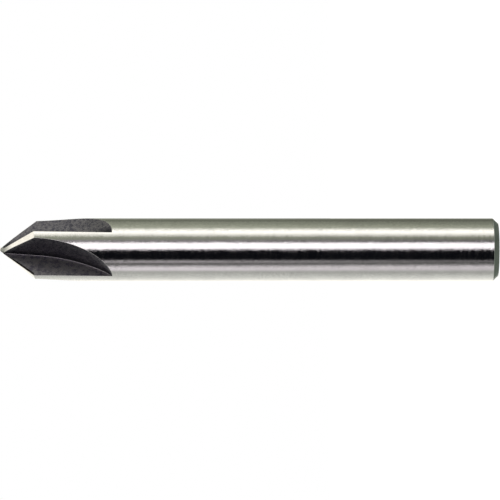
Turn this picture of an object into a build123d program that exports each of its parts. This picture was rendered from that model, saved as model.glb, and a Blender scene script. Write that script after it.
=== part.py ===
from build123d import *
import math
import os

# Countersink bit: one bar of tool steel, a plain round shank with a four-fluted point ground on
# its end. The bit stands on the end of its shank. Z runs up its axis, from the end face at zero
# to the point. Sizes are in millimetres and angles in degrees.

# --- Bar ---
shank_diameter = 6.35  # quarter inch, one size from the end chamfer to the corners of the point
overall_length = 50.2  # from the end face to the flat on the point
end_chamfer = 0.54  # 45 degree chamfer round the end face

# --- Point ---
point_angle = 82.0  # included angle, measured over opposite cutting edges
point_flat_depth = 0.15  # how far the flat lies below the apex, where the edges would meet
point_relief = 4.0  # clearance angle behind each cutting edge, measured round the section

# --- Flutes ---
flute_count = 4
flute_length = 11.36  # from the flat on the point to where the wheel has left the bar
wheel_diameter = 33.2  # the grinding wheel whose rim sweeps the floor of each flute
web_at_apex = 0.76  # thickness of the core between the floors of opposite flutes, at the apex
web_taper = 4.1  # slope of each floor, away from the axis towards the shank
rake_offset = 0.14  # how far each rake face stands ahead of the axis, at the bar's surface
rake_tilt = 5.0  # slope of each rake face, back from the bar's surface towards the axis
rake_lean = 0.95  # slope of each rake face, back from the axis towards the shank
flute_corner_radius = 0.15  # rounded corner of the wheel, left between rake face and floor
first_edge_angle = -55.4  # place of the first flute's wheel round Z, from +X

# --- Worked out from the sizes above ---
shank_radius = shank_diameter / 2
half_point_angle = point_angle / 2
apex_height = overall_length + point_flat_depth
point_length = shank_radius / math.tan(math.radians(half_point_angle))
wheel_radius = wheel_diameter / 2
land_pitch = 360 / flute_count


def bar():
    """The round bar with its chamfered end, cut square at the flat on the point."""
    outline = Polyline(
        (0, 0),
        (shank_radius - end_chamfer, 0),
        (shank_radius, end_chamfer),
        (shank_radius, overall_length),
        (0, overall_length),
        close=True,
    )
    return revolve(Plane.XZ * make_face(outline), Axis.Z)


def tipped_cone():
    """A solid cone with its apex at the origin, tipped over sideways about that apex.

    The line of the cone straight below +X stays at half the point angle: it is the cutting
    edge. The cone is tipped so that its surface falls away on the -Y side, behind that edge.
    """
    relief_slope = math.tan(math.radians(point_relief)) * math.tan(math.radians(half_point_angle))
    tip_over = math.degrees(math.atan(relief_slope))
    cosine = math.cos(math.radians(half_point_angle)) * math.cos(math.radians(tip_over))
    height = 3 * point_length
    cone = Cone(
        bottom_radius=height * math.tan(math.acos(cosine)),
        top_radius=0,
        height=height,
        align=(Align.CENTER, Align.CENTER, Align.MAX),
    )
    return Rot(X=tip_over) * cone


def relief_cutter():
    """What the relief grinding takes off the quarter of the point behind one cutting edge."""
    reach = 2 * shank_radius
    quarter = Box(reach, reach, 2 * point_length, align=(Align.MIN, Align.MAX, Align.MAX))
    ahead_of_edge = land_pitch / 4
    return Pos(Z=apex_height) * (Rot(Z=ahead_of_edge) * quarter - tipped_cone())


def wheel_path():
    """Outline swept by the grinding wheel's rim, with +X down the floor and +Y out of the flute.

    The wheel starts clear of the point and is fed down the floor. It stops where its rim has
    climbed out to the bar's surface at the end of the flute, so its last centre follows from
    the flute's length and the wheel's size.
    """
    slope = math.radians(web_taper)
    end_depth = flute_length + point_flat_depth
    end_height = shank_radius - web_at_apex / 2
    along_floor = end_depth * math.cos(slope) + end_height * math.sin(slope)
    above_floor = end_height * math.cos(slope) - end_depth * math.sin(slope)
    run_out = math.sqrt(wheel_radius**2 - (wheel_radius - above_floor) ** 2)
    last_centre = along_floor - run_out
    approach = 2 * shank_radius
    feed = approach + last_centre
    return Pos(last_centre - feed / 2, wheel_radius) * SlotCenterToCenter(feed, wheel_diameter)


def flute_cutter():
    """The space taken by the wheel for one flute, ahead of the cutting edge on +X.

    Its dished side grinds the rake face, its rim the floor, and its rounded corner the fillet
    between them. The rake face leans, so it crosses behind the axis down the flute.
    """
    slope = math.radians(web_taper)
    down_the_floor = (math.sin(slope), 0, -math.cos(slope))
    wheel_width = 3 * shank_radius
    wheel_back = Plane(
        (web_at_apex / 2, rake_offset - shank_radius, 0),
        x_dir=down_the_floor,
        z_dir=(0, -1, 0),
    )
    rim = extrude(wheel_back * wheel_path(), amount=-wheel_width)
    reach = 2 * wheel_diameter
    ahead_of_rake = Box(reach, reach, reach, align=(Align.CENTER, Align.MIN, Align.CENTER))
    cutter = rim & Pos(shank_radius, rake_offset) * Rot(Z=rake_tilt) * ahead_of_rake
    working_corner = cutter.faces().sort_by(Axis.Y)[0].edges()
    cutter = fillet(working_corner, flute_corner_radius)
    return Pos(Z=apex_height) * Rot(X=-rake_lean) * cutter


def each_land(tool):
    """Copies of a tool, one for each land round the axis."""
    turns = [first_edge_angle + land_pitch * number for number in range(flute_count)]
    return [Rot(Z=turn) * tool for turn in turns]


def countersink_bit():
    """The bar with its point relieved and its flutes ground."""
    return bar() - each_land(relief_cutter()) - each_land(flute_cutter())


os.makedirs("parts", exist_ok=True)
export_step(countersink_bit(), "parts/countersink_bit.step")
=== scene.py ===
"""A countersink bit: one bar of tool steel with a plain ground shank and a four-fluted point.

The bit stands on the end of its shank and Z runs up its axis to the point. Its skin is worked out
as grids of points, each point with the normal that it shades with, and every face carries the
finish that the grinder, the lathe or the furnace left there, except for painted shade in strips
beside the cutting edges on the cone and in bands beside the valleys. Sizes are in millimetres
and become metres only when the mesh is made.
"""

import logging
from dataclasses import dataclass, field
from enum import Enum
from functools import cached_property
from typing import Any, Callable, Iterable

import bpy
import numpy as np
from mathutils import Matrix


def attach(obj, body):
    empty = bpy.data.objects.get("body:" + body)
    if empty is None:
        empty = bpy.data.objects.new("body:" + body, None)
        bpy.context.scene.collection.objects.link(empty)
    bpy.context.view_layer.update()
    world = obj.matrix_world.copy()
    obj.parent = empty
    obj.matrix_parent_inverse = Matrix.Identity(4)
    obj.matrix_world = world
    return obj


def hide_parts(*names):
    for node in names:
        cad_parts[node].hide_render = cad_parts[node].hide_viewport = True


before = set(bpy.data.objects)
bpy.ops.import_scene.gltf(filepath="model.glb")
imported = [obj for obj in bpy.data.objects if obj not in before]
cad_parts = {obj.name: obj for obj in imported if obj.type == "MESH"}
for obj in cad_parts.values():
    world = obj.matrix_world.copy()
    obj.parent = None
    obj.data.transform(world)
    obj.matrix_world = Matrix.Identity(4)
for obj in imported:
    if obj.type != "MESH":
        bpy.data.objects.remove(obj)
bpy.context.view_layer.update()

log = logging.getLogger("countersink_bit")

Grid = np.ndarray  # one number, or one point, for each place on a grid
Socket = bpy.types.NodeSocket

METRES_PER_MM = 0.001
BAR_RADIUS = 6.35 / 2
FIRST_EDGE_ANGLE = -55.4  # degrees round Z from +X
WELD_GRID = 1e-5  # points closer than this, in millimetres, are one point
SETTLING_ROUNDS = 60  # rounds in which an angle and the radius there settle on each other
ANGLE_STEP = 1e-6  # radians over which a slope is measured
UP = (0.0, 0.0, 1.0)
LAY_SHIFT = 100.0  # millimetres by which a land's tool marks shift, for each radian of its turn


class Finish(Enum):
    """The finishes on the bit. Each value is the place of its material on the mesh."""

    CYLINDER_GRIND = 0
    POINT_GRIND = 1
    FLUTE_GRIND = 2
    VALLEY = 3
    TURNED_END = 4
    BROKEN_EDGE = 5
    RAKE_GRIND = 6
    # Not a finish: painted shade, a near-black strip beside the cutting edges on the cone.
    SCORCHED = 7


# --- Surfaces -----------------------------------------------------------------------------------


def unit(vectors: Grid) -> Grid:
    """The same vectors, each divided by its own length."""
    return vectors / np.linalg.norm(vectors, axis=-1, keepdims=True)


def stacked(*parts: Any) -> Grid:
    """Arrays or numbers of one common shape, laid side by side as the last axis."""
    return np.stack(np.broadcast_arrays(*parts), axis=-1).astype(float)


@dataclass(frozen=True)
class Patch:
    """A grid of points on the bit's skin, its rows running down the bit and its columns round it.

    Attributes:
        points: Places in millimetres, rows by columns by three.
        normals: The normal that each point shades with.
        lay: Distances along and across the tool marks, in millimetres.
        finish: The finish that the patch carries.
    """

    points: Grid
    normals: Grid
    lay: Grid
    finish: Finish

    def turned(self, angle: float) -> "Patch":
        """The patch turned round the bit's axis, with tool marks of its own.

        Args:
            angle: The turn in radians, ahead round the axis.

        Returns:
            The turned patch.
        """
        cosine, sine = np.cos(angle), np.sin(angle)
        turn = np.array([[cosine, sine, 0.0], [-sine, cosine, 0.0], [0.0, 0.0, 1.0]])
        shifted = self.lay + np.array([LAY_SHIFT * angle, 0.0])
        return Patch(self.points @ turn, self.normals @ turn, shifted, self.finish)


@dataclass
class Skin:
    """The closed skin of one solid piece, gathered patch by patch."""

    patches: list[Patch] = field(default_factory=list)

    def add(self, patches: Iterable[Patch]) -> None:
        """Adds more patches to the skin."""
        self.patches.extend(patches)

    def corners(self) -> tuple[Grid, Grid, Grid, Grid]:
        """Every four-cornered cell of every patch, as whole arrays.

        A cell's corners go down one row, along to the next column and back up, which turns its
        face outwards.

        Returns:
            Points, normals and lay of the corners, cells by four, and each cell's finish.
        """
        def cells(grid: Grid) -> Grid:
            """The corners of each cell of a grid."""
            around = (grid[:-1, :-1], grid[1:, :-1], grid[1:, 1:], grid[:-1, 1:])
            return np.stack(around, axis=2).reshape(-1, 4, grid.shape[-1])

        points = np.concatenate([cells(patch.points) for patch in self.patches])
        normals = np.concatenate([cells(patch.normals) for patch in self.patches])
        lay = np.concatenate([cells(patch.lay) for patch in self.patches])
        sizes = [(len(patch.points) - 1) * (patch.points.shape[1] - 1) for patch in self.patches]
        finishes = np.repeat([patch.finish.value for patch in self.patches], sizes)
        return points, normals, lay, finishes

    def mesh(self, name: str) -> bpy.types.Mesh:
        """Welds the patches into one closed mesh.

        Corners on the same spot become one point. A cell with two corners on one spot becomes a
        triangle, and a cell with less than three spots is left out. Each corner keeps the
        normal of its own patch, so a face's shading doesn't run over an edge.

        Args:
            name: The mesh's name.

        Returns:
            The mesh, in metres.
        """
        points, normals, lay, finishes = self.corners()
        spots = np.round(points.reshape(-1, 3) / WELD_GRID).astype(np.int64)
        _, first, index = np.unique(spots, axis=0, return_index=True, return_inverse=True)
        places = points.reshape(-1, 3)[first] * METRES_PER_MM
        index = index.reshape(-1, 4)

        fresh = index != np.roll(index, 1, axis=1)
        folded = (index[:, 0] == index[:, 2]) | (index[:, 1] == index[:, 3])
        sound = (fresh.sum(axis=1) >= 3) & ~folded
        fresh &= sound[:, None]
        counts = fresh.sum(axis=1)[sound]

        mesh = bpy.data.meshes.new(name)
        mesh.vertices.add(len(places))
        mesh.vertices.foreach_set("co", places.astype(np.float32).ravel())
        mesh.loops.add(int(counts.sum()))
        mesh.loops.foreach_set("vertex_index", index[fresh].astype(np.int32))
        mesh.polygons.add(len(counts))
        starts = np.concatenate([[0], np.cumsum(counts)[:-1]]).astype(np.int32)
        mesh.polygons.foreach_set("loop_start", starts)
        mesh.polygons.foreach_set("material_index", finishes[sound].astype(np.int32))
        mesh.update(calc_edges=True)
        mesh.validate()
        mesh.uv_layers.new(name="lay").uv.foreach_set(
            "vector", lay[fresh].astype(np.float32).ravel()
        )
        mesh.shade_smooth()
        mesh.normals_split_custom_set(unit(normals[fresh]).tolist())
        return mesh


def crossing(gap: Callable[[float], float], low: float, high: float) -> float:
    """Where a rising gap crosses zero, found by halving the span again and again.

    Args:
        gap: The gap, below zero at the low end and above it at the high end.
        low: The span's low end.
        high: The span's high end.

    Returns:
        The place of the crossing.
    """
    for _ in range(SETTLING_ROUNDS):
        middle = (low + high) / 2
        low, high = (middle, high) if gap(middle) < 0 else (low, middle)
    return (low + high) / 2


def blend_normals(first: Grid, last: Grid, share: Grid) -> Grid:
    """Normals that turn evenly from one set to another.

    Args:
        first: Normals at a share of zero.
        last: Normals at a share of one.
        share: How far each result has turned.

    Returns:
        Unit normals.
    """
    return unit(first * (1.0 - share[..., None]) + last * share[..., None])


# --- The bit's parts ----------------------------------------------------------------------------


@dataclass(frozen=True)
class RelievedPoint:
    """The cone at the end of the bar, relieved behind each cutting edge.

    Depths are measured down the axis from the apex, where the cutting edges would meet. Angles
    are measured round the axis from a land's cutting edge, with angles ahead of it above zero.
    """

    bar_radius: float = BAR_RADIUS
    apex_height: float = 50.35
    flat_depth: float = 0.15
    included_angle: float = 82.0
    relief: float = 4.0
    corner_round: float = 0.012

    @property
    def tip_over(self) -> float:
        """How far the cone of one land leans over sideways to give the relief, in radians."""
        half = np.radians(self.included_angle / 2)
        return float(np.arctan(np.tan(np.radians(self.relief)) * np.tan(half)))

    @property
    def leaning_cosine(self) -> float:
        """Cosine of the cone's half angle times that of its lean."""
        return float(np.cos(np.radians(self.included_angle / 2)) * np.cos(self.tip_over))

    def slope(self, angle: Grid) -> Grid:
        """Radius gained per millimetre of depth on the cone of one land.

        The cone's apex stays on the axis while the cone leans over, so along a line at each angle
        the radius grows evenly with depth. The slope is the larger root of the quadratic that
        says that a point's direction makes the cone's half angle with its leaning axis.

        Args:
            angle: Angles from the cutting edge.

        Returns:
            The slope at each angle.
        """
        lean, cosine = self.tip_over, self.leaning_cosine
        square = cosine**2 - (np.sin(angle) * np.sin(lean)) ** 2
        linear = np.sin(angle) * np.sin(lean) * np.cos(lean)
        rest = np.cos(lean) ** 2 - cosine**2
        return (linear + np.sqrt(linear**2 + square * rest)) / square

    def over(self, depth: Grid, angle: Grid) -> Grid:
        """How much larger than the bar the cone is at each depth and angle."""
        return depth * self.slope(angle) - self.bar_radius

    def radius(self, depth: Grid, angle: Grid) -> Grid:
        """Radius of the outside: the cone's, or the bar's where that is less.

        Close to where the two are equal a parabola joins them, which rounds the corner.

        Args:
            depth: Depths below the apex.
            angle: Angles from the cutting edge.

        Returns:
            Radii in millimetres.
        """
        over = self.over(depth, angle)
        bend = np.clip(over, -self.corner_round, self.corner_round) + self.corner_round
        joined = np.where(over < -self.corner_round, over, bend - self.corner_round)
        return self.bar_radius + joined - bend**2 / (4 * self.corner_round)

    def normal(self, depth: Grid, angle: Grid) -> Grid:
        """True normal of the outside, from how the radius changes round and along the bit.

        Args:
            depth: Depths below the apex.
            angle: Angles from the cutting edge.

        Returns:
            Unit normals, the first axis along the cutting edge and the last up the bit.
        """
        share = np.clip(0.5 - self.over(depth, angle) / (2 * self.corner_round), 0.0, 1.0)
        rise = self.slope(angle + ANGLE_STEP) - self.slope(angle - ANGLE_STEP)
        turn = rise / (2 * ANGLE_STEP)
        round_it = share * depth * turn / self.radius(depth, angle)
        cosine, sine = np.cos(angle), np.sin(angle)
        across = cosine + round_it * sine
        ahead = sine - round_it * cosine
        return unit(stacked(across, ahead, share * self.slope(angle)))

    def corner_depth(self, angle: Grid, beyond: float) -> Grid:
        """Depth at which the cone would be that much larger than the bar."""
        return (self.bar_radius + beyond) / self.slope(angle)

    def chord(self, depth: Grid, out: Grid, side: float) -> Grid:
        """Where a line across the cone of one land, at a distance out, leaves that cone.

        The line meets the leaning cone where a quadratic in the distance ahead is zero. Short of
        the cone it has no root, and the place where the line would first touch stands in.

        Args:
            depth: Depths below the apex.
            out: Distances of the line out from the axis.
            side: One for the end ahead, minus one for the end behind.

        Returns:
            Distances ahead of the axis.
        """
        lean, cosine = self.tip_over, self.leaning_cosine
        square = cosine**2 - np.sin(lean) ** 2
        linear = np.sin(lean) * np.cos(lean) * depth
        rest = (np.cos(lean) * depth) ** 2 - cosine**2 * (out**2 + depth**2)
        root = np.sqrt(np.clip(linear**2 + square * rest, 0.0, None))
        return (linear + side * root) / square


@dataclass(frozen=True)
class WheelGroundFlute:
    """One flute, ground by a wheel whose dished side cuts the rake face and whose rim the floor.

    Out is the direction of the flute's own cutting edge, and ahead the direction in which that
    edge cuts. The wheel is fed down a straight floor, stops, and leaves its own curve there.
    Close to the apex the wheel passes over the web, and the flute starts where it first bites.
    """

    point: RelievedPoint = RelievedPoint()
    length: float = 11.36
    wheel_radius: float = 33.2 / 2
    half_web: float = 0.76 / 2
    taper: float = 4.1
    rake_offset: float = 0.14
    rake_tilt: float = 5.0
    rake_lean: float = 0.95
    valley_radius: float = 0.15
    edge_round: float = 0.02
    edge_growth: float = 0.1  # how fast the broken edge grows with depth where the flute starts
    edge_share: float = 0.2  # the most of the cutting edge's height that it takes
    valley_share: float = 0.4  # the most of the room there that the valley's round takes
    step_angle: float = np.pi / 8  # where one land's cone steps down to the next
    near_tip: tuple[float, float] = (0.1, 1.5)  # depths between which the flute starts

    @property
    def slope(self) -> float:
        """Slope of the floor away from the axis, in radians."""
        return float(np.radians(self.taper))

    @property
    def lean(self) -> float:
        """Slope of the rake face down the bit, in radians."""
        return float(np.radians(self.rake_lean))

    @property
    def tilt(self) -> float:
        """Slope of the rake face in towards the axis, in radians."""
        return float(np.radians(self.rake_tilt))

    @property
    def hook(self) -> float:
        """How far the rake face falls back for each millimetre in towards the axis."""
        return float(np.tan(self.tilt) / np.cos(self.lean))

    @property
    def run_out(self) -> float:
        """Depth of the flute's end, as the wheel sees it."""
        return self.length + self.point.flat_depth

    @property
    def end_depth(self) -> float:
        """Depth at which the wheel has left the bar."""
        return float(self.run_out / np.cos(self.lean))

    @cached_property
    def straight_feed(self) -> float:
        """How far down the floor the wheel's centre stops: where its rim still reaches the end.

        The rim climbs from the floor to the bar's surface at the end of the flute, and the run
        that this takes is the half chord of the wheel at that height.
        """
        slope, end = self.slope, self.run_out
        height = self.point.bar_radius - self.half_web
        along = end * np.cos(slope) + height * np.sin(slope)
        above = height * np.cos(slope) - end * np.sin(slope)
        run = np.sqrt(self.wheel_radius**2 - (self.wheel_radius - above) ** 2)
        return float(along - run)

    @cached_property
    def wheel_centre(self) -> tuple[float, float]:
        """Depth and distance out of the wheel's centre where it stops."""
        slope, feed = self.slope, self.straight_feed
        depth = feed * np.cos(slope) - self.wheel_radius * np.sin(slope)
        out = self.half_web + feed * np.sin(slope) + self.wheel_radius * np.cos(slope)
        return float(depth), float(out)

    @property
    def turn_in(self) -> float:
        """Depth at which the straight floor ends and the wheel's own curve starts."""
        return float(self.straight_feed * np.cos(self.slope))

    def wheel_depth(self, depth: Grid, ahead: Grid) -> Grid:
        """Depth along the leaning rake face, which is how the wheel sees it."""
        return depth * np.cos(self.lean) - ahead * np.sin(self.lean)

    def rake(self, depth: Grid, out: Grid) -> Grid:
        """How far the rake face lies ahead of the axis, at a depth and a distance out."""
        at_surface = self.rake_offset / np.cos(self.lean) - depth * np.tan(self.lean)
        return at_surface - self.hook * (self.point.bar_radius - out)

    def floor(self, depth: Grid, ahead: Grid) -> Grid:
        """How far out the floor lies: a straight taper, and past the last feed a circle.

        Args:
            depth: Depths below the apex.
            ahead: Distances ahead of the axis.

        Returns:
            Distances out from the axis, at most the bar's radius.
        """
        seen = self.wheel_depth(depth, ahead)
        centre_depth, centre_out = self.wheel_centre
        past = np.clip(seen, self.turn_in, None) - centre_depth
        rim = centre_out - np.sqrt(np.clip(self.wheel_radius**2 - past**2, 0.0, None))
        line = self.half_web + np.tan(self.slope) * seen
        out = np.where(seen < self.turn_in, line, rim)
        return np.where(depth > self.end_depth - WELD_GRID, self.point.bar_radius, out)

    def floor_normal(self, depth: Grid, ahead: Grid) -> Grid:
        """True normal of the floor, from how fast it climbs out of the bar.

        Args:
            depth: Depths below the apex.
            ahead: Distances ahead of the axis.

        Returns:
            Unit normals as out, ahead and up.
        """
        seen = self.wheel_depth(depth, ahead)
        past = np.clip(seen, self.turn_in, None) - self.wheel_centre[0]
        climb = past / np.sqrt(self.wheel_radius**2 - past**2)
        return unit(stacked(1.0, climb * np.sin(self.lean), climb * np.cos(self.lean)))

    def leaving(self, depth: Grid, side: float) -> tuple[Grid, Grid]:
        """Where the floor leaves the cone of the flute's own land.

        Args:
            depth: Depths below the apex.
            side: One for the end ahead, minus one for the end behind.

        Returns:
            Distances out and ahead.
        """
        ahead = np.zeros(np.shape(depth))
        for _ in range(SETTLING_ROUNDS):
            out = self.floor(depth, ahead)
            ahead = self.point.chord(depth, out, side)
        return out, ahead

    @cached_property
    def bite_depth(self) -> float:
        """Depth at which the wheel's rim first bites into the point."""
        def gap(depth: float) -> float:
            """How far the outside stands proud of the floor, where the two run side by side."""
            out, ahead = self.leaving(depth, 0.0)
            return self.point.radius(depth, np.arctan2(ahead, out)) - np.hypot(ahead, out)
        return crossing(gap, self.point.flat_depth, self.near_tip[1])

    @cached_property
    def bite_angle(self) -> float:
        """Angle at which the wheel's rim first bites."""
        out, ahead = self.leaving(self.bite_depth, 0.0)
        return float(np.arctan2(ahead, out))

    @cached_property
    def rake_depth(self) -> float:
        """Depth at which the wheel's side reaches the point, and the rake face starts."""
        def gap(depth: float) -> float:
            """How far the rake face lies ahead of where the floor would leave the point."""
            out, ahead = self.leaving(depth, -1.0)
            return self.rake(depth, out) - ahead
        return crossing(gap, self.bite_depth, self.near_tip[1])

    def step_gap(self, depth: float, angle: float) -> float:
        """How far one land's outside, seen along the step between two lands, clears the floor."""
        radius = self.point.radius(depth, angle)
        ahead = radius * np.sin(self.step_angle)
        return radius * np.cos(self.step_angle) - self.floor(depth, ahead)

    @cached_property
    def step_depth(self) -> float:
        """Depth at which the floor reaches the step between this land and the next."""
        return crossing(lambda depth: self.step_gap(depth, self.step_angle), *self.near_tip)

    @cached_property
    def clear_depth(self) -> float:
        """Depth at which the floor has taken the whole step away."""
        behind = self.step_angle - np.pi / 2
        return crossing(lambda depth: self.step_gap(depth, behind), *self.near_tip)

    def heel_angle(self, depth: Grid) -> Grid:
        """Angle of a land's heel, where the floor of the flute behind it leaves the bar.

        The sine of the angle is the floor's distance out over the radius at that angle. Above
        the depth where the floor clears the step, the land starts at the step.

        Args:
            depth: Depths below the apex.

        Returns:
            Angles from the land's cutting edge, below zero.
        """
        start = self.step_angle - np.pi / 2
        angle = np.full(np.shape(depth), start)
        for _ in range(SETTLING_ROUNDS):
            radius = self.point.radius(depth, angle)
            out = self.floor(depth, radius * np.cos(angle))
            angle = -np.arcsin(np.clip(out / radius, 0.0, 1.0))
        return np.where(depth > self.clear_depth, angle, start)

    def lead_angle(self, depth: Grid) -> Grid:
        """Angle of the cutting edge, where the rake face meets the outside.

        Args:
            depth: Depths below the apex.

        Returns:
            Angles from the line of the cutting edge through the axis.
        """
        angle = np.full(np.shape(depth), self.bite_angle)
        for _ in range(SETTLING_ROUNDS):
            radius = self.point.radius(depth, angle)
            sine = self.rake(depth, radius * np.cos(angle)) / radius
            angle = np.arcsin(np.clip(sine, -1.0, 1.0))
        out = self.floor(depth, np.zeros(np.shape(depth)))
        angle = np.maximum(angle, -np.arccos(np.clip(out / radius, 0.0, 1.0)))
        out, behind = self.leaving(depth, -1.0)
        angle = np.where(depth > self.rake_depth, angle, np.arctan2(behind, out))
        return np.where(depth > self.bite_depth, angle, self.bite_angle)

    def corner(self, depth: Grid, radius: Grid) -> tuple[Grid, Grid]:
        """Centre of the round that the wheel's corner leaves between rake face and floor.

        It lies one radius from the rake face and one from the floor, and the two are worked out
        in turn until they settle. With no radius it is the sharp corner itself.

        Args:
            depth: Depths below the apex.
            radius: Radii of the round.

        Returns:
            Distances of the centre out and ahead.
        """
        lead = self.lead_angle(depth)
        reach = self.point.radius(depth, lead)
        edge_out, edge_ahead = reach * np.cos(lead), reach * np.sin(lead)
        ahead = edge_ahead
        for _ in range(SETTLING_ROUNDS):
            out = self.floor(depth, ahead) + radius
            ahead = edge_ahead - self.hook * (edge_out - out) + radius / np.cos(self.tilt)
        return self.floor(depth, ahead) + radius, ahead

    def exit_angle(self, depth: Grid) -> Grid:
        """Angle at which the floor leaves the point while the step still stands.

        Args:
            depth: Depths below the apex, above where the floor clears the step.

        Returns:
            Angles from the flute's own cutting edge, up to the step.
        """
        out, ahead = self.leaving(depth, 1.0)
        angle = np.where(depth < self.step_depth, np.arctan2(ahead, out), self.step_angle)
        return np.where(depth > self.bite_depth, angle, self.bite_angle)

    def floor_end(self, depth: Grid) -> Grid:
        """How far ahead the floor reaches before it leaves the bar.

        Args:
            depth: Depths below the apex.

        Returns:
            Distances ahead of the axis.
        """
        heel = self.heel_angle(depth)
        at_heel = self.point.radius(depth, heel) * np.cos(heel)
        exit_slope = np.tan(self.exit_angle(depth))
        at_step = np.zeros(np.shape(depth))
        for _ in range(SETTLING_ROUNDS):
            at_step = self.floor(depth, at_step) * exit_slope
        return np.where(depth > self.clear_depth, at_heel, at_step)

    def height(self, depth: Grid) -> Grid:
        """How far the cutting edge stands out above the floor."""
        lead = self.lead_angle(depth)
        return self.point.radius(depth, lead) * np.cos(lead) - self.floor(depth, 0.0)

    def rounding(self, depth: Grid) -> Grid:
        """Size of the broken edge, less where the flute starts and where it runs out."""
        grown = self.edge_growth * (depth - self.clear_depth)
        room = np.minimum(grown, self.edge_share * self.height(depth))
        return np.clip(room, 0.0, self.edge_round)

    def valley(self, depth: Grid) -> Grid:
        """Radius that the wheel's corner leaves in the valley, less where there is no room."""
        width = self.floor_end(depth) - self.corner(depth, 0.0)[1]
        room = self.valley_share * np.minimum(self.height(depth), width)
        return np.clip(np.where(depth > self.rake_depth, room, 0.0), 0.0, self.valley_radius)


@dataclass(frozen=True)
class Divisions:
    """How many cells each strip of the fluted end has, round the bit and down it.

    Of the valley's cells, the worn ones are the last, beside the floor.
    """

    land: int = 36
    edge: int = 3
    edge_strip: int = 2
    rake: int = 8
    valley: int = 8
    worn: int = 3
    floor: int = 14
    step: int = 2
    tip: int = 6
    event: int = 3
    cone: int = 16
    corner: int = 4
    run: int = 60


@dataclass(frozen=True)
class FlutedEnd:
    """The fluted end of the bit: lands, cutting edges, rake faces, valleys and floors.

    The grid is worked out for one land and the flute ahead of it, in the directions out, ahead
    and up of that land, and then turned round the axis once for each land.
    """

    point: RelievedPoint = RelievedPoint()
    flute: WheelGroundFlute = WheelGroundFlute()
    cells: Divisions = Divisions()
    land_count: int = 4
    first_edge_angle: float = FIRST_EDGE_ANGLE
    edge_strip_width: float = 0.4  # width of the strip beside the cutting edge, straight out; on the cone it carries painted shade
    edge_strip_limit: float = 0.3  # the most of the rake face's height that the strip takes
    first_slope: float = 0.86  # radius gained for each millimetre of depth, near enough

    def place(self, out: Any, ahead: Any, depth: Any) -> Grid:
        """Points from their distances out and ahead and their depth below the apex."""
        return stacked(out, ahead, self.point.apex_height - np.asarray(depth, float))

    def polar(self, radius: Any, angle: Any, depth: Any) -> Grid:
        """Points from their radius and angle round the axis and their depth below the apex."""
        return self.place(radius * np.cos(angle), radius * np.sin(angle), depth)

    def shared(self, count: int) -> Grid:
        """Even shares from zero to one over a number of cells."""
        return np.linspace(0.0, 1.0, count + 1)

    def land_angles(self, depth: Grid, share: Grid) -> Grid:
        """Angles on a land, from its heel to its cutting edge, less the broken edges.

        Args:
            depth: Depths below the apex.
            share: How far across the land, from the heel at zero to the cutting edge at one.

        Returns:
            Angles from the cutting edge's line.
        """
        heel, lead = self.flute.heel_angle(depth), self.flute.lead_angle(depth)
        rounding = self.flute.rounding(depth)
        heel = heel + rounding / self.point.radius(depth, heel)
        lead = lead - rounding / self.point.radius(depth, lead)
        return heel + (lead - heel) * share

    def corner_depth(self, share: Grid, beyond: float) -> Grid:
        """Depth of the corner between cone and bar at each share of a land's width.

        The corner lies deeper behind the cutting edge, and the land's width depends on depth,
        so the two are worked out in turn until they settle.

        Args:
            share: Shares of the land's width.
            beyond: How much larger than the bar the cone would be there.

        Returns:
            Depths below the apex.
        """
        depth = np.full(np.shape(share), self.point.bar_radius / self.first_slope)
        for _ in range(SETTLING_ROUNDS // 2):
            depth = self.point.corner_depth(self.land_angles(depth, share), beyond)
        return depth

    def row_depths(self, share: Grid) -> tuple[Grid, Grid, Grid]:
        """Depths of every row below the tip, for columns at the given shares of a land.

        Down the cone the rows are even. Round the corner they follow the rounding, and below it
        they draw closer and closer together towards the end of the flute, as the square of
        what is left.

        Args:
            share: Shares of the land's width.

        Returns:
            Depths on the cone, round the corner and along the flute, rows by columns.
        """
        top, bottom = self.flute.clear_depth, self.flute.end_depth
        size = self.point.corner_round
        upper, lower = self.corner_depth(share, -size), self.corner_depth(share, size)
        down = self.shared(self.cells.cone)[:, None]
        cone = top + (upper - top) * down
        turns = np.linspace(-size, size, self.cells.corner + 1)
        middle = [self.corner_depth(share, turn) for turn in turns[1:-1]]
        corner = np.stack([upper, *middle, lower])
        left = (1.0 - self.shared(self.cells.run)[:, None]) ** 2
        return cone, corner, bottom - (bottom - lower) * left

    def land(self, depth: Grid, share: Grid, finish: Finish) -> Patch:
        """The outside of a land: a radius at each angle and depth.

        Args:
            depth: Depths, rows by columns.
            share: Shares of the land's width, one for each column.
            finish: The finish that the patch carries.

        Returns:
            The patch.
        """
        angle = self.land_angles(depth, share)
        radius = self.point.radius(depth, angle)
        lay = stacked(radius * angle, depth)
        return Patch(self.polar(radius, angle, depth), self.point.normal(depth, angle), lay, finish)

    def rake_normal(self, shape: tuple[int, ...]) -> Grid:
        """The rake face's normal, which is the same all over it."""
        lean, tilt = self.flute.lean, self.flute.tilt
        ahead, up = np.cos(tilt) * np.cos(lean), -np.cos(tilt) * np.sin(lean)
        return np.broadcast_to(np.array([-np.sin(tilt), ahead, up]), (*shape, 3))

    def broken_edge(self, start: Grid, edge: Grid, end: Grid,
                    normals: tuple[Grid, Grid], depth: Grid) -> Patch:
        """A narrow rounding over an edge: a parabola from one face to the other.

        Each point is the mean of the start, the sharp edge and the end, weighted by the squares
        and the double product of the shares on either side.

        Args:
            start: Points on the first face, one for each row.
            edge: Points on the sharp edge.
            end: Points on the second face.
            normals: The two faces' normals there.
            depth: Depths of the rows.

        Returns:
            The patch.
        """
        share = self.shared(self.cells.edge)[None, :]
        weights = np.concatenate([(1 - share) ** 2, 2 * share * (1 - share), share**2])
        points = np.einsum("wc,wrx->rcx", weights, np.stack([start, edge, end]))
        turn = np.broadcast_to(share, (len(depth), share.size))
        bent = blend_normals(normals[0][:, None], normals[1][:, None], turn)
        lay = stacked(depth[:, None], share * self.flute.edge_round)
        return Patch(points, bent, lay, Finish.BROKEN_EDGE)

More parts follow.
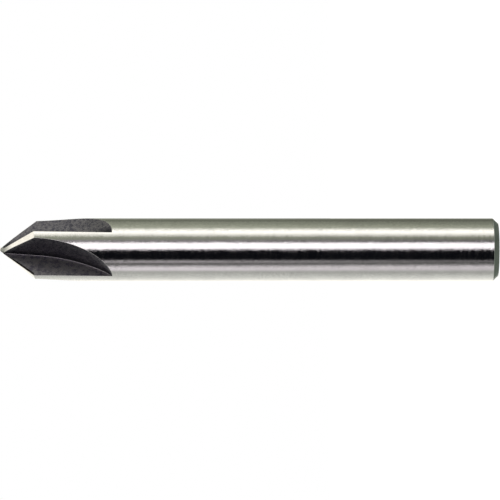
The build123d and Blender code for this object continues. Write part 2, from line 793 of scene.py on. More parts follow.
    def lead_edge(self, depth: Grid) -> Patch:
        """The broken cutting edge, from the land to the rake face.

        Args:
            depth: Depths of the rows.

        Returns:
            The patch.
        """
        flute, size = self.flute, self.flute.rounding(depth)
        angle = flute.lead_angle(depth)
        radius = self.point.radius(depth, angle)
        before = self.land_angles(depth, np.ones_like(depth))
        near = self.point.radius(depth, before)
        out, ahead = radius * np.cos(angle), radius * np.sin(angle)
        faces = self.point.normal(depth, before), self.rake_normal(depth.shape)
        edge = self.place(out, ahead, depth)
        end = self.place(out - size, ahead - flute.hook * size, depth)
        return self.broken_edge(self.polar(near, before, depth), edge, end, faces, depth)

    def heel_edge(self, depth: Grid) -> Patch:
        """The broken heel edge of the next land, from the floor to that land's outside.

        Args:
            depth: Depths of the rows.

        Returns:
            The patch.
        """
        flute, size = self.flute, self.flute.rounding(depth)
        reach = flute.floor_end(depth)
        last = reach - size
        start = self.place(flute.floor(depth, last), last, depth)
        edge = self.place(flute.floor(depth, reach), reach, depth)
        after = self.land_angles(depth, np.zeros_like(depth))
        near = self.point.radius(depth, after)
        end = self.place(-near * np.sin(after), near * np.cos(after), depth)
        outside = self.point.normal(depth, after)
        outside = stacked(-outside[..., 1], outside[..., 0], outside[..., 2])
        faces = flute.floor_normal(depth, last), outside
        return self.broken_edge(start, edge, end, faces, depth)

    def rake_shares(self, depth: Grid, near: bool) -> Grid:
        """Shares of the rake face's height, in the strip beside the cutting edge or inside it.

        Args:
            depth: Depths, rows by columns.
            near: Whether the strip is the one beside the cutting edge.

        Returns:
            Shares, rows by columns, from the cutting edge at zero.
        """
        angle = self.flute.lead_angle(depth)
        height = self.point.radius(depth, angle) * np.cos(angle)
        seam = np.minimum(self.edge_strip_width / height, self.edge_strip_limit)
        if near:
            return seam * self.shared(self.cells.edge_strip)
        return seam + (1.0 - seam) * self.shared(self.cells.rake)

    def rake_face(self, depth: Grid, share: Grid, finish: Finish) -> Patch:
        """The rake face, from the cutting edge in to the valley, marked by the wheel's side.

        The marks are arcs round the wheel's last centre, so the lay is the distance round that
        centre and the distance from it.

        Args:
            depth: Depths, rows by columns.
            share: Shares of the face's height, from the cutting edge at zero.
            finish: The finish that the patch carries.

        Returns:
            The patch.
        """
        flute, angle = self.flute, self.flute.lead_angle(depth)
        broken, size = flute.rounding(depth), flute.valley(depth)
        radius = self.point.radius(depth, angle)
        top = radius * np.cos(angle) - broken
        edge = radius * np.sin(angle) - flute.hook * broken
        centre_out, centre_ahead = flute.corner(depth, size)
        out = top + (centre_out + size * np.sin(flute.tilt) - top) * share
        ahead = edge + (centre_ahead - size * np.cos(flute.tilt) - edge) * share
        centre_depth, centre_out = flute.wheel_centre
        along = flute.wheel_radius * np.arctan2(depth - centre_depth, centre_out - out)
        across = np.hypot(depth - centre_depth, centre_out - out)
        normals = self.rake_normal(depth.shape)
        lay = stacked(along, across)
        return Patch(self.place(out, ahead, depth), normals, lay, finish)

    def valley(self, depth: Grid, share: Grid, worn: float) -> Patch:
        """The round that the wheel's corner leaves between rake face and floor.

        The wheel's corner has worn unevenly, so the round shades like the rake face at first and
        turns to the floor over its last part, which shines as one thin line.

        Args:
            depth: Depths, rows by columns.
            share: Shares of the turn, from the rake face at zero.
            worn: The share of the turn at which the shading starts to turn.

        Returns:
            The patch.
        """
        flute, whole = self.flute, np.pi / 2 + self.flute.tilt
        turn, size = share * whole, flute.valley(depth)
        out, ahead = flute.corner(depth, size)
        out = out + size * np.sin(flute.tilt - turn)
        ahead = ahead - size * np.cos(flute.tilt - turn)
        first, last = self.rake_normal(depth.shape), flute.floor_normal(depth, ahead)
        shaded = whole * np.clip((share - worn) / (1.0 - worn), 0.0, 1.0)
        left, gone = np.sin(whole - shaded)[:, None], np.sin(shaded)[:, None]
        normals = unit(first * left + last * gone)
        lay = stacked(depth, size * turn)
        finish = Finish.VALLEY if share[0] >= worn else Finish.RAKE_GRIND
        return Patch(self.place(out, ahead, depth), normals, lay, finish)

    def floor(self, depth: Grid, share: Grid) -> Patch:
        """The floor, from the valley out to the heel of the next land.

        Args:
            depth: Depths, rows by columns.
            share: Shares of the floor's width, from the valley at zero.

        Returns:
            The patch.
        """
        flute = self.flute
        first = flute.corner(depth, flute.valley(depth))[1]
        last = flute.floor_end(depth) - flute.rounding(depth)
        ahead = first + (last - first) * share
        points = self.place(flute.floor(depth, ahead), ahead, depth)
        lay = stacked(depth, ahead - first)
        return Patch(points, flute.floor_normal(depth, ahead), lay, Finish.FLUTE_GRIND)

    def flute_strips(self, lead: Grid, heel: Grid, beside: Finish) -> list[Patch]:
        """Every strip between one land and the next, for rows that slope from lead to heel.

        Args:
            lead: Depth of each row at the cutting edge.
            heel: Depth of each row at the next land's heel.
            beside: Finish of the rake face's strip beside the cutting edge.

        Returns:
            The patches in order round the bit.
        """
        cells = self.cells
        bounds = np.cumsum([0, cells.edge_strip, cells.rake, cells.valley, cells.floor])
        across = np.linspace(0.0, 1.0, bounds[-1] + 1)
        depth = lead[:, None] + (heel - lead)[:, None] * across
        near, rake, valley, floor = (
            depth[:, a:b + 1] for a, b in zip(bounds[:-1], bounds[1:])
        )
        turn, worn = self.shared(cells.valley), cells.valley - cells.worn
        return [
            self.lead_edge(lead),
            self.rake_face(near, self.rake_shares(near, True), beside),
            self.rake_face(rake, self.rake_shares(rake, False), Finish.RAKE_GRIND),
            self.valley(valley[:, :worn + 1], turn[:worn + 1], turn[worn]),
            self.valley(valley[:, worn:], turn[worn:], turn[worn]),
            self.floor(floor, self.shared(cells.floor)),
            self.heel_edge(heel),
        ]

    def tip_depths(self) -> Grid:
        """Depths of the rows near the apex, with one on each event of the starting flute.

        Returns:
            Depths from the flat on the point to where the floor has cleared the step.
        """
        flute = self.flute
        first = np.linspace(self.point.flat_depth, flute.bite_depth, self.cells.tip + 1)[:-1]
        events = sorted([flute.bite_depth, flute.rake_depth, flute.step_depth, flute.clear_depth])
        spans = [np.linspace(a, b, self.cells.event + 1)[:-1] for a, b in zip(events, events[1:])]
        return np.concatenate([first, *spans, events[-1:]])

    def folded(self, patch: Patch, depth: Grid) -> Patch:
        """A strip of the flute with the rows above the bite folded into the bite's own point.

        Args:
            patch: The strip.
            depth: Depths of its rows.

        Returns:
            The folded strip.
        """
        angle = self.flute.bite_angle
        radius = self.point.radius(depth, np.full_like(depth, angle))
        spot = self.polar(radius, angle, depth)[:, None]
        opened = (depth > self.flute.bite_depth + WELD_GRID)[:, None, None]
        return Patch(np.where(opened, patch.points, spot), patch.normals, patch.lay, patch.finish)

    def step_strips(self, depth: Grid) -> list[Patch]:
        """What is left of the next quarter near the apex: a sliver of cone and a small step.

        Args:
            depth: Depths of the rows.

        Returns:
            The sliver ahead of the floor, and the wall down to the next land's cone.
        """
        flute, step = self.flute, self.flute.step_angle
        share = self.shared(self.cells.step)
        start = flute.exit_angle(depth)[:, None]
        rows = np.broadcast_to(depth[:, None], (depth.size, share.size))
        angle = start + (step - start) * share
        radius = self.point.radius(rows, angle)
        reached = (flute.floor_end(depth) / np.sin(flute.exit_angle(depth)))[:, None]
        radius = np.where(rows < flute.step_depth - WELD_GRID, radius, reached)
        sliver = Patch(
            self.polar(radius, angle, rows), self.point.normal(rows, angle),
            stacked(radius * angle, rows), Finish.POINT_GRIND,
        )
        top = radius[:, -1:]
        foot = self.point.radius(depth, np.full_like(depth, step - np.pi / 2))[:, None]
        wall_radius = top + (foot - top) * share
        facing = np.array([-np.sin(step), np.cos(step), 0.0])
        wall = Patch(
            self.polar(wall_radius, step, rows),
            np.broadcast_to(facing, (*rows.shape, 3)), stacked(wall_radius, rows),
            Finish.POINT_GRIND,
        )
        return [sliver, wall]

    def tip(self) -> list[Patch]:
        """The rows near the apex, and the flat on the point that closes them.

        Returns:
            The patches of one quarter.
        """
        depth, share = self.tip_depths(), self.shared(self.cells.land)
        rows = np.broadcast_to(depth[:, None], (depth.size, share.size))
        # The strip beside each cutting edge near the apex carries painted shade.
        strips = self.flute_strips(depth, depth, Finish.SCORCHED)
        flute = [self.folded(patch, depth) for patch in strips[:-1]]
        around = [self.land(rows, share, Finish.POINT_GRIND), *flute, *self.step_strips(depth)]
        caps = [self.cap(patch) for patch in around]
        return around + caps

    def cap(self, patch: Patch) -> Patch:
        """The part of the flat that joins a strip's top row to the axis.

        Args:
            patch: The strip.

        Returns:
            The patch.
        """
        rim = patch.points[0]
        middle = np.zeros_like(rim) + np.array([0.0, 0.0, rim[0, 2]])
        up = np.broadcast_to(np.array(UP), (2, len(rim), 3))
        lay = np.stack([middle[:, :2], rim[:, :2]])
        return Patch(np.stack([middle, rim]), up, lay, Finish.POINT_GRIND)

    def patches(self) -> list[Patch]:
        """The whole fluted end, every land and flute of it.

        Returns:
            The patches, turned to their places round the axis.
        """
        share = self.shared(self.cells.land)
        finishes = (Finish.POINT_GRIND, Finish.BROKEN_EDGE, Finish.CYLINDER_GRIND)
        quarter = self.tip()
        for depth, finish in zip(self.row_depths(share), finishes):
            quarter.append(self.land(depth, share, finish))
            # On the cone the strip beside the cutting edge carries painted shade.
            beside = Finish.SCORCHED if finish is Finish.POINT_GRIND else Finish.RAKE_GRIND
            quarter.extend(self.flute_strips(depth[:, -1], depth[:, 0], beside))
        pitches = 2 * np.pi * np.arange(self.land_count) / self.land_count
        turns = np.radians(self.first_edge_angle) + pitches
        return [patch.turned(float(turn)) for turn in turns for patch in quarter]

    @property
    def foot(self) -> float:
        """Height at which the flutes have ended and the plain shank takes over."""
        return self.point.apex_height - self.flute.end_depth


@dataclass(frozen=True)
class Shank:
    """The plain round shank, its chamfer and its turned end face: one outline carried round."""

    top: float
    radius: float = BAR_RADIUS
    chamfer: float = 0.54
    edge_round: float = 0.03
    rings: int = 26
    chamfer_rings: int = 6
    face_rings: int = 10
    edge_cells: int = 4
    columns: int = 36
    quarters: int = 4
    first_angle: float = FIRST_EDGE_ANGLE

    def corner(self, before: Grid, at: Grid, after: Grid) -> Grid:
        """A rounded corner of the outline: a parabola that leaves and joins its two straights.

        Args:
            before: A point on the straight before the corner.
            at: The sharp corner.
            after: A point on the straight after the corner.

        Returns:
            Points of the outline, from one straight to the other.
        """
        share = np.linspace(0.0, 1.0, self.edge_cells + 1)[:, None]
        start = at + unit(before - at) * self.edge_round
        end = at + unit(after - at) * self.edge_round
        return start * (1 - share) ** 2 + at * 2 * share * (1 - share) + end * share**2

    def spans(self) -> list[tuple[Grid, Finish]]:
        """The outline as radius and height, span by span, each with its finish.

        Returns:
            Cylinder, corner, chamfer, corner and end face.
        """
        top = np.array([self.radius, self.top])
        shoulder = np.array([self.radius, self.chamfer])
        rim = np.array([self.radius - self.chamfer, 0.0])
        middle = np.array([0.0, 0.0])
        upper, lower = self.corner(top, shoulder, rim), self.corner(shoulder, rim, middle)
        return [
            (np.linspace(top, upper[0], self.rings + 1), Finish.CYLINDER_GRIND),
            (upper, Finish.BROKEN_EDGE),
            (np.linspace(upper[-1], lower[0], self.chamfer_rings + 1), Finish.TURNED_END),
            (lower, Finish.BROKEN_EDGE),
            (np.linspace(lower[-1], middle, self.face_rings + 1), Finish.TURNED_END),
        ]

    def patches(self) -> list[Patch]:
        """The outline carried round the axis, a quarter at a time.

        A point's normal is its outline's own, turned a quarter from the direction in which the
        outline runs, and carried round with it.

        Returns:
            The patches.
        """
        quarter = 2 * np.pi / self.quarters
        first = np.radians(self.first_angle) - quarter
        made = []
        for outline, finish in self.spans():
            run = unit(np.gradient(outline, axis=0, edge_order=2))
            steps = np.linalg.norm(np.diff(outline, axis=0), axis=1)
            along = np.concatenate([[0.0], np.cumsum(steps)])
            radius, height = outline[:, 0:1], outline[:, 1:2]
            outward, upward = -run[:, 1:2], run[:, 0:1]
            for turn in range(self.quarters):
                angle = first + turn * quarter + np.linspace(0.0, quarter, self.columns + 1)
                points = stacked(radius * np.cos(angle), radius * np.sin(angle), height)
                normals = stacked(outward * np.cos(angle), outward * np.sin(angle), upward)
                lay = stacked(radius * angle, along[:, None])
                made.append(Patch(points, normals, lay, finish))
        return made


# --- Finishes -----------------------------------------------------------------------------------


@dataclass
class Bench:
    """A node tree being put together: each call adds one node and gives its result back."""

    tree: bpy.types.NodeTree

    def node(self, kind: str, feeds: dict[Any, Any] | None = None,
             **settings: Any) -> bpy.types.Node:
        """Adds a node, sets it and feeds its inputs.

        Args:
            kind: The node's type.
            feeds: What goes to each input, by name or place: another node's output or a value.
            **settings: The node's own settings.

        Returns:
            The node.
        """
        made = self.tree.nodes.new(kind)
        for name, value in settings.items():
            setattr(made, name, value)
        for where, value in (feeds or {}).items():
            if isinstance(value, Socket):
                self.tree.links.new(value, made.inputs[where])
            else:
                made.inputs[where].default_value = value
        return made

    def math(self, operation: str, *values: Any, clamp: bool = False) -> Socket:
        """The result of a sum, product or other operation on numbers."""
        feeds = dict(enumerate(values))
        return self.node("ShaderNodeMath", feeds, operation=operation, use_clamp=clamp).outputs[0]

    def vector(self, operation: str, *values: Any) -> Socket:
        """The vector that an operation on vectors gives."""
        feeds = dict(enumerate(values))
        return self.node("ShaderNodeVectorMath", feeds, operation=operation).outputs[0]

    def scaled(self, vector: Any, factor: Any) -> Socket:
        """A vector made longer or shorter by a factor."""
        feeds = {0: vector, "Scale": factor}
        return self.node("ShaderNodeVectorMath", feeds, operation="SCALE").outputs[0]

    def noise(self, vector: Any, scale: float, detail: float = 2.0,
              roughness: float = 0.5) -> Socket:
        """Smooth noise from zero to one, its mean a half."""
        feeds = {"Vector": vector, "Scale": scale, "Detail": detail, "Roughness": roughness}
        return self.node("ShaderNodeTexNoise", feeds, noise_dimensions="3D").outputs[0]

    def span(self, value: Any, low: float, high: float, start: Any = 0.0,
             end: Any = 1.0) -> Socket:
        """A value carried from one span to another, and held at the ends.

        Args:
            value: The value.
            low: The value that gives the start.
            high: The value that gives the end.
            start: The result at the low value.
            end: The result at the high value.

        Returns:
            The result.
        """
        feeds = {"Value": value, "From Min": low, "From Max": high, "To Min": start, "To Max": end}
        return self.node("ShaderNodeMapRange", feeds, interpolation_type="SMOOTHSTEP").outputs[0]

    def away(self, value: Any, factor: Any) -> Socket:
        """How far a noise is away from its mean, made larger or smaller by a factor."""
        return self.math("MULTIPLY", self.math("SUBTRACT", value, 0.5), factor)

    def part(self, vector: Any, axis: int) -> Socket:
        """One of a vector's three parts."""
        return self.node("ShaderNodeSeparateXYZ", {0: vector}).outputs[axis]

    def tint(self, share: Any, first: Any, second: Any) -> Socket:
        """A colour between two others."""
        feeds = {0: share, 6: first, 7: second}
        return self.node("ShaderNodeMix", feeds, data_type="RGBA").outputs[2]


def shader_group(name: str, inputs: dict[str, float], vectors: tuple[str, ...],
                 outputs: dict[str, str]) -> tuple[Bench, Any, Any]:
    """An empty shader group with its sockets.

    Args:
        name: The group's name.
        inputs: Its numbers, each with its usual value.
        vectors: Its vector inputs.
        outputs: Its outputs, each with its socket type.

    Returns:
        The bench of the group, its input node and its output node.
    """
    tree = bpy.data.node_groups.new(name, "ShaderNodeTree")
    for label in vectors:
        tree.interface.new_socket(name=label, in_out="INPUT", socket_type="NodeSocketVector")
    for label, value in inputs.items():
        socket = tree.interface.new_socket(
            name=label, in_out="INPUT", socket_type="NodeSocketFloat"
        )
        socket.default_value = value
    for label, kind in outputs.items():
        tree.interface.new_socket(name=label, in_out="OUTPUT", socket_type=kind)
    bench = Bench(tree)
    return bench, bench.node("NodeGroupInput"), bench.node("NodeGroupOutput")


@dataclass(frozen=True)
class GrindMarks:
    """The shader group for grinding marks, shared by every ground finish.

    Its marks come from noise stretched along the lay. A coarse set makes bands of slightly
    different lustre and a fine set makes scratches. The normal is tipped sideways along the
    surface by the coarse set and by a grain of specks, and along the bit's axis by the fine set.

    Attributes:
        name: The group's name.
        speck: Size of a speck in millimetres.
        fineness: How many times finer the scratches are than the coarse marks.
        coarse_edge: How ragged the coarse marks are.
        fine_edge: How ragged the scratches are.
    """

    name: str = "grinding_marks"
    speck: float = 0.1
    fineness: float = 4.3
    coarse_edge: float = 0.55
    fine_edge: float = 0.6

    def build(self) -> bpy.types.NodeTree:
        """Makes the group.

        Returns:
            The group, with the marks' place, pitch, stretch, waver, tip and grain as inputs.
        """
        inputs = {"Pitch": 0.2, "Stretch": 12.0, "Waver": 0.02, "Tip": 0.02, "Grain": 0.02}
        outputs = {"Coarse": "NodeSocketFloat", "Fine": "NodeSocketFloat",
                   "Speck": "NodeSocketFloat", "Normal": "NodeSocketVector"}
        bench, given, result = shader_group(self.name, inputs, ("Lay", "Across"), outputs)
        lay, across = given.outputs["Lay"], given.outputs["Across"]
        pitch = bench.math("DIVIDE", 1.0, given.outputs["Pitch"])
        along = bench.math("DIVIDE", pitch, given.outputs["Stretch"])
        rise = bench.vector("MULTIPLY", lay, across)
        run = bench.vector("SUBTRACT", lay, rise)
        drawn = bench.vector("ADD", bench.scaled(rise, pitch), bench.scaled(run, along))
        coarse = bench.noise(drawn, 1.0, roughness=self.coarse_edge)
        fine = bench.noise(drawn, self.fineness, roughness=self.fine_edge)
        speck = bench.noise(bench.scaled(lay, 1.0 / self.speck), 1.0, detail=1.0)
        normal = bench.node("ShaderNodeNewGeometry").outputs["Normal"]
        side = bench.vector("NORMALIZE", bench.vector("CROSS_PRODUCT", UP, normal))
        waver = bench.away(coarse, given.outputs["Waver"])
        tip = bench.away(fine, given.outputs["Tip"])
        grain = bench.away(speck, given.outputs["Grain"])
        moved = bench.vector("ADD", normal, bench.scaled(side, bench.math("ADD", waver, grain)))
        moved = bench.vector("ADD", moved, bench.scaled(UP, tip))
        tipped = bench.vector("NORMALIZE", moved)
        for label, value in zip(outputs, (coarse, fine, speck, tipped)):
            bench.tree.links.new(value, result.inputs[label])
        return bench.tree


VALLEY_SHADE = (0.012, 0.012, 0.016, 1.0)  # painted shade on the floor beside a valley, darkest at the valley
TIP_GREY = (0.16, 0.17, 0.155, 1.0)  # the grey that the point's colour turns to near the apex


@dataclass(frozen=True)
class GroundSteel:
    """Steel with a ground or turned finish.

    Attributes:
        name: The material's name.
        light: Colour of the bare metal between the marks.
        dark: Colour in the marks and stains.
        smooth: Roughness of the smoothest bands.
        rough: Roughness of the dullest bands.
        pitch: Width of a coarse mark in millimetres.
        stretch: How many times longer than wide a mark is.
        waver: How far the marks tip the surface sideways.
        tip: How far they tip it along the bit.
        grain: How far the specks between the marks tip it sideways.
        stain: Width of the cloudy stains in millimetres.
        stain_depth: How strongly the stains darken the metal.
        follows_lay: Whether the marks follow the cutter's path over the face, rather than rings
            round the axis.
        shadow: Width of the painted shade on the floor beside the valley, none at zero.
        grey_above: Height in millimetres where the colour starts to turn grey, none at zero.
        cloud_noise: Detail of the noise that makes the stains, and how ragged it is.
        clouds: Values of that noise between which a stain sets in.
        scratches: Values between which a scratch sets in, and how much it darkens.
        specks: Values between which a speck sets in, and how much it darkens.
        bands: Values between which the lustre goes from the smoothest to the dullest.
        greying: How far up the grey grows, in millimetres, and its share at the end.
    """

    name: str
    light: tuple[float, float, float]
    dark: tuple[float, float, float]
    smooth: float
    rough: float
    pitch: float = 0.2
    stretch: float = 12.0
    waver: float = 0.02
    tip: float = 0.02
    grain: float = 0.02
    stain: float = 1.5
    stain_depth: float = 0.3
    follows_lay: bool = False
    shadow: float = 0.0
    grey_above: float = 0.0
    cloud_noise: tuple[float, float] = (4.0, 0.65)
    clouds: tuple[float, float] = (0.42, 0.68)
    scratches: tuple[float, float, float] = (0.35, 0.75, 0.3)
    specks: tuple[float, float, float] = (0.25, 0.75, 0.6)
    bands: tuple[float, float] = (0.3, 0.7)
    greying: tuple[float, float] = (1.0, 0.9)

    def material(self, marks: bpy.types.NodeTree) -> bpy.types.Material:
        """Makes the material.

        Args:
            marks: The group for grinding marks.

        Returns:
            The material.
        """
        made = bpy.data.materials.new(self.name)
        made.use_nodes = True
        bench = Bench(made.node_tree)
        shader = made.node_tree.nodes["Principled BSDF"]
        place = bench.node("ShaderNodeTexCoord")
        body = bench.scaled(place.outputs["Object"], 1.0 / METRES_PER_MM)
        lay = bench.node("ShaderNodeUVMap", uv_map="lay").outputs[0]
        vector, across = (lay, (0.0, 1.0, 0.0)) if self.follows_lay else (body, UP)
        group = bench.node("ShaderNodeGroup", node_tree=marks)
        group.inputs["Across"].default_value = across
        made.node_tree.links.new(vector, group.inputs["Lay"])
        for label, value in (("Pitch", self.pitch), ("Stretch", self.stretch),
                             ("Waver", self.waver), ("Tip", self.tip), ("Grain", self.grain)):
            group.inputs[label].default_value = value
        coarse, fine = group.outputs["Coarse"], group.outputs["Fine"]
        cloud = bench.noise(body, 1.0 / self.stain, *self.cloud_noise)
        stained = bench.span(cloud, *self.clouds, 0.0, self.stain_depth)
        scratched = bench.span(fine, *self.scratches[:2], 0.0, self.scratches[2])
        specked = bench.span(group.outputs["Speck"], *self.specks[:2], 0.0, self.specks[2])
        marked = bench.math("ADD", scratched, specked)
        shade = bench.math("ADD", stained, marked, clamp=True)
        colour = bench.tint(shade, (*self.light, 1.0), (*self.dark, 1.0))
        # Painted shade: the colour darkens towards the valley.
        if self.shadow:
            clear = bench.span(bench.part(lay, 1), 0.0, self.shadow)
            colour = bench.tint(clear, VALLEY_SHADE, colour)
        # Towards the apex the colour turns greyer.
        if self.grey_above:
            reach, most = self.greying
            start = self.grey_above
            worn = bench.span(bench.part(body, 2), start, start + reach, 0.0, most)
            colour = bench.tint(worn, colour, TIP_GREY)
        dull = bench.span(coarse, *self.bands, self.smooth, self.rough)
        made.node_tree.links.new(colour, shader.inputs["Base Color"])
        made.node_tree.links.new(dull, shader.inputs["Roughness"])
        made.node_tree.links.new(group.outputs["Normal"], shader.inputs["Normal"])
        shader.inputs["Metallic"].default_value = 1.0
        return made


FINISHES: dict[Finish, GroundSteel] = {
    Finish.CYLINDER_GRIND: GroundSteel(
        "cylindrical_grind", (0.70, 0.69, 0.67), (0.54, 0.53, 0.52), 0.10, 0.16,
        pitch=0.2, stretch=6.0, waver=0.03, tip=0.06, grain=0.17, stain=2.5, stain_depth=0.25,
    ),
    Finish.POINT_GRIND: GroundSteel(
        "relief_grind", (0.82, 0.80, 0.76), (0.62, 0.61, 0.58), 0.22, 0.36,
        pitch=0.12, stretch=10.0, waver=0.03, tip=0.06, grain=0.04, stain=0.8, stain_depth=0.25,
        grey_above=48.9,
    ),
    # The flute's floor carries painted shade beside the valley.
    Finish.FLUTE_GRIND: GroundSteel(
        "oxidised_flute", (0.148, 0.142, 0.146), (0.040, 0.040, 0.052), 0.24, 0.36,
        pitch=0.10, stretch=5.0, waver=0.10, tip=0.10, grain=0.10, stain=0.3, stain_depth=0.7,
        follows_lay=True, shadow=1.0,
    ),
    Finish.RAKE_GRIND: GroundSteel(
        "scuffed_rake", (0.34, 0.33, 0.325), (0.14, 0.13, 0.17), 0.45, 0.6,
        pitch=0.10, stretch=6.0, waver=0.10, tip=0.10, grain=0.08, stain=0.45, stain_depth=0.7,
        follows_lay=True,
    ),
    # Painted shade: a near-black strip beside the cutting edges on the cone.
    Finish.SCORCHED: GroundSteel(
        "painted_edge_shade", (0.03, 0.027, 0.022), (0.01, 0.01, 0.008), 0.4, 0.5,
        pitch=0.10, stretch=6.0, waver=0.05, tip=0.05, grain=0.05, stain=0.2, stain_depth=0.5,
        follows_lay=True,
    ),
    Finish.VALLEY: GroundSteel(
        "worn_valley", (0.42, 0.40, 0.42), (0.2, 0.19, 0.2), 0.3, 0.42,
        pitch=0.1, stretch=8.0, waver=0.05, tip=0.05, grain=0.05, stain=0.5, stain_depth=0.5,
        follows_lay=True,
    ),
    Finish.TURNED_END: GroundSteel(
        "turned_end", (0.46, 0.47, 0.45), (0.26, 0.27, 0.25), 0.3, 0.42,
        pitch=0.08, stretch=30.0, waver=0.03, tip=0.06, grain=0.03, stain=1.0, stain_depth=0.4,
        follows_lay=True,
    ),
    Finish.BROKEN_EDGE: GroundSteel(
        "broken_edge", (0.74, 0.73, 0.71), (0.58, 0.57, 0.55), 0.22, 0.34,
        pitch=0.2, stretch=6.0, waver=0.03, tip=0.03, grain=0.03, stain=1.0, stain_depth=0.2,
    ),
}


# --- The whole bit ------------------------------------------------------------------------------


@dataclass(frozen=True)
class CountersinkBit:
    """The finished bit: fluted end and shank in one skin."""

    name: str = "countersink_bit_skin"
    fluted_end: FlutedEnd = FlutedEnd()

    def build(self) -> bpy.types.Object:
        """Makes the bit's mesh and puts it in the scene.

        Returns:
            The object, at the origin.
        """
        skin = Skin()
        skin.add(self.fluted_end.patches())
        skin.add(Shank(top=self.fluted_end.foot).patches())
        made = bpy.data.objects.new(self.name, skin.mesh(self.name))
        bpy.context.scene.collection.objects.link(made)
        return made

    def dress(self, made: bpy.types.Object) -> None:
        """Gives the bit a material for each finish, and ties it to the frame.

        Args:
            made: The bit's object.
        """
        marks = GrindMarks().build()
        for finish in Finish:
            made.data.materials.append(FINISHES[finish].material(marks))
        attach(made, "root")
        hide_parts("countersink_bit")


# --- The studio ---------------------------------------------------------------------------------


@dataclass(frozen=True)
class Card:
    """One upright strip of the studio round the bit, lit evenly from one bearing to another.

    Bearings are in degrees from straight in front of the bit, above zero towards +X. Seen from
    the shank's end, a card has leaned over by some degrees and its glow has faded by a factor.
    """

    name: str
    start: float
    end: float
    glow: float
    tint: tuple[float, float, float] = (1.0, 1.0, 1.0)
    lean: float = 0.0
    fade: float = 1.0

    def stops(self, far: bool) -> list[tuple[float, tuple[float, float, float, float]]]:
        """The strip's two sides, each a bearing and a colour.

        Args:
            far: Whether they are seen from the shank's end, where a strip has leaned and faded.

        Returns:
            The side where it starts and the side where it ends.
        """
        glow, lean = (self.glow * self.fade, self.lean) if far else (self.glow, 0.0)
        red, green, blue = (glow * part for part in self.tint)
        return [(side + lean, (red, green, blue, 1.0)) for side in (self.start, self.end)]


OLIVE = (0.97, 1.03, 0.82)
CREAM = (1.0, 0.985, 0.93)
LILAC = (1.0, 0.95, 1.0)
SEA_GREY = (1.0, 1.02, 0.97)
INK = (0.7, 0.8, 1.2)
WHITE = (1.0, 1.0, 1.0, 1.0)

CARDS = (
    Card("rear wall, left", -180, -158, 1.36, CREAM, fade=1.1),
    Card("tan drape", -118, -116, 0.80, SEA_GREY, fade=1.1),
    Card("grey fold", -92, -87, 0.58, SEA_GREY, fade=0.92),
    Card("pale drape", -79, -70, 1.04, LILAC, lean=6, fade=0.82),
    Card("dark seam", -55.5, -51.5, 0.10, SEA_GREY, lean=4),
    Card("grey post", -46.5, -42, 0.56, LILAC, lean=3, fade=0.3),
    Card("black cloth", -37, -1, 0.005, INK),
    Card("window, low side", 3.6, 6.5, 1.90, LILAC, lean=4.5),
    Card("window", 12, 24, 1.90, LILAC),
    Card("purple gap", 28, 35, 0.34, LILAC, fade=0.48),
    Card("olive wall", 40, 47, 0.36, OLIVE, fade=0.78),
    Card("lamp", 64.5, 73.5, 1.80, CREAM, lean=0.7),
    Card("olive drape", 89, 95, 0.53, OLIVE, fade=0.88),
    Card("olive drape, far", 112, 120, 0.37, OLIVE, fade=0.76),
    Card("dark corner", 134, 139, 0.20, OLIVE, fade=0.8),
    Card("rear wall, right", 154, 180, 0.34, OLIVE, fade=0.7),
)


@dataclass(frozen=True)
class FloorPaint:
    """The floor's matt white paint, which glows a little so that the floor stays even."""

    name: str = "floor_paint"
    grey: float = 0.2
    roughness: float = 0.9
    glow: float = 0.92

    def material(self) -> bpy.types.Material:
        """Makes the material.

        Returns:
            The material.
        """
        paint = bpy.data.materials.new(self.name)
        paint.use_nodes = True
        inputs = paint.node_tree.nodes["Principled BSDF"].inputs
        inputs["Base Color"].default_value = (self.grey, self.grey, self.grey, 1.0)
        inputs["Roughness"].default_value = self.roughness
        inputs["Emission Color"].default_value = WHITE
        inputs["Emission Strength"].default_value = self.glow
        return paint


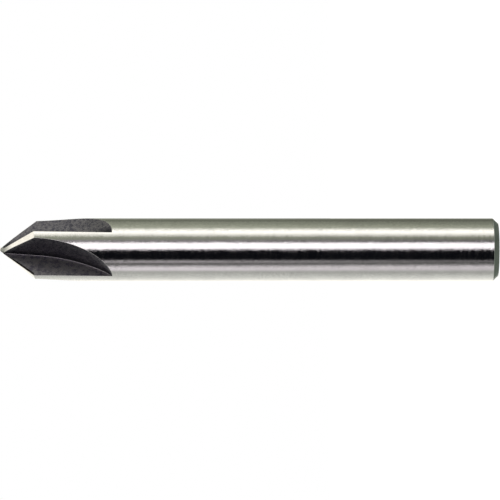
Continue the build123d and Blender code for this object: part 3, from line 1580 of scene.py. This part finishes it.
@dataclass(frozen=True)
class Studio:
    """The room round the bit: a soft sky of upright cards, a pale floor and the camera.

    Attributes:
        strength: Strength of the light.
        ceiling: Light from straight above.
        below: Light that the floor gives back.
        ends: Heights of a direction at which the cards look as from the shank's end and as from
            the point.
        overhead: Heights of a direction between which the cards give way to the ceiling.
        underfoot: Heights between which they give way to what the floor gives back.
        floor_size: Length of the floor's sides in metres.
        floor_cells: How many cells the floor has along each side.
        paint: The floor's paint.
        camera_place: Where the camera stands, in metres.
        lens: Its focal length in millimetres.
        sensor: Its sensor's width in millimetres.
        clip: The nearest and farthest distances that it sees, in metres.
    """

    strength: float = 1.0
    ceiling: tuple[float, float, float] = (1.36, 1.32, 1.22)
    below: tuple[float, float, float] = (0.24, 0.28, 0.24)
    ends: tuple[float, float] = (-0.06, 0.035)
    overhead: tuple[float, float] = (0.62, 0.82)
    underfoot: tuple[float, float] = (-0.18, -0.45)
    floor_size: float = 1.6
    floor_cells: int = 16
    paint: FloorPaint = FloorPaint()
    camera_place: tuple[float, float, float] = (-0.000015, -0.3833, 0.02501)
    lens: float = 273.6
    sensor: float = 36.0
    clip: tuple[float, float] = (0.01, 10.0)

    def ramp(self, bench: Bench, share: Any, far: bool) -> Socket:
        """The light of the cards at each share of the way round.

        Args:
            bench: The world's bench.
            share: The share of the way round, a half straight in front.
            far: Whether the cards are seen from the shank's end.

        Returns:
            The light.
        """
        made = bench.node("ShaderNodeValToRGB", {0: share})
        elements = made.color_ramp.elements
        stops = [stop for card in CARDS for stop in card.stops(far)]
        elements.remove(elements[1])
        elements[0].position, elements[0].color = 0.0, stops[0][1]
        for bearing, colour in stops[1:]:
            element = elements.new((bearing + 180.0) / 360.0)
            element.color = colour
        return made.outputs[0]

    def light(self) -> None:
        """Lights the scene with the cards, a soft ceiling and what the floor gives back.

        A direction's bearing is the angle whose tangent is its X over its minus Y. The camera
        itself sees plain white.
        """
        world = bpy.data.worlds.new("studio")
        bpy.context.scene.world = world
        world.use_nodes = True
        world.node_tree.nodes.clear()
        bench = Bench(world.node_tree)
        towards = bench.node("ShaderNodeTexCoord").outputs["Generated"]
        split = bench.node("ShaderNodeSeparateXYZ", {0: towards}).outputs
        bearing = bench.math("ARCTAN2", split[0], bench.math("MULTIPLY", split[1], -1.0))
        share = bench.math("ADD", bench.math("DIVIDE", bearing, 2 * np.pi), 0.5)
        ends = self.ramp(bench, share, True), self.ramp(bench, share, False)
        cards = bench.tint(bench.span(split[2], *self.ends), *ends)
        up = bench.span(split[2], *self.overhead)
        down = bench.span(split[2], *self.underfoot)
        glow = bench.tint(up, cards, (*self.ceiling, 1.0))
        glow = bench.tint(down, glow, (*self.below, 1.0))
        seen = bench.node("ShaderNodeLightPath").outputs["Is Camera Ray"]
        glow = bench.tint(seen, glow, WHITE)
        background = bench.node("ShaderNodeBackground", {0: glow, 1: self.strength})
        bench.node("ShaderNodeOutputWorld", {0: background.outputs[0]})

    def floor(self) -> bpy.types.Object:
        """The pale floor that the bit stands on: a grid in the plane of the end face.

        Returns:
            The floor.
        """
        points = self.floor_cells + 1
        side = np.linspace(-self.floor_size / 2, self.floor_size / 2, points)
        places = stacked(*np.meshgrid(side, side), 0.0).reshape(-1, 3)
        first = np.arange(self.floor_cells)
        corner = (first[:, None] * points + first).reshape(-1, 1)
        faces = corner + np.array([0, 1, points + 1, points])
        mesh = bpy.data.meshes.new("floor")
        mesh.from_pydata(places.tolist(), [], faces.tolist())
        made = bpy.data.objects.new("floor", mesh)
        bpy.context.scene.collection.objects.link(made)
        mesh.materials.append(self.paint.material())
        made.visible_glossy = False
        made.visible_diffuse = False
        return made

    def camera(self) -> bpy.types.Object:
        """The camera, level with the middle of the bit and rolled so that the bit lies down.

        Its right is down the bit's axis and its top is +X.

        Returns:
            The camera.
        """
        data = bpy.data.cameras.new("camera")
        data.lens, data.sensor_width = self.lens, self.sensor
        data.clip_start, data.clip_end = self.clip
        made = bpy.data.objects.new("camera", data)
        turn = Matrix(((0, 1, 0), (0, 0, -1), (-1, 0, 0)))
        made.matrix_world = Matrix.Translation(self.camera_place) @ turn.to_4x4()
        bpy.context.scene.collection.objects.link(made)
        bpy.context.scene.camera = made
        bpy.context.scene.view_settings.view_transform = "Standard"
        return made


def main() -> None:
    """Builds the bit and the studio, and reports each."""
    logging.basicConfig(level=logging.INFO, format="%(name)s: %(message)s")
    bit = CountersinkBit()
    made = bit.build()
    bit.dress(made)
    log.info("%s: %d points, %d faces", made.name, len(made.data.vertices), len(made.data.polygons))
    studio = Studio()
    studio.light()
    log.info("%s: %d cards", bpy.context.scene.world.name, len(CARDS))
    for piece in (studio.floor(), studio.camera()):
        log.info("%s: at %s", piece.name, tuple(round(value, 5) for value in piece.location))


if __name__ == "__main__":
    main()
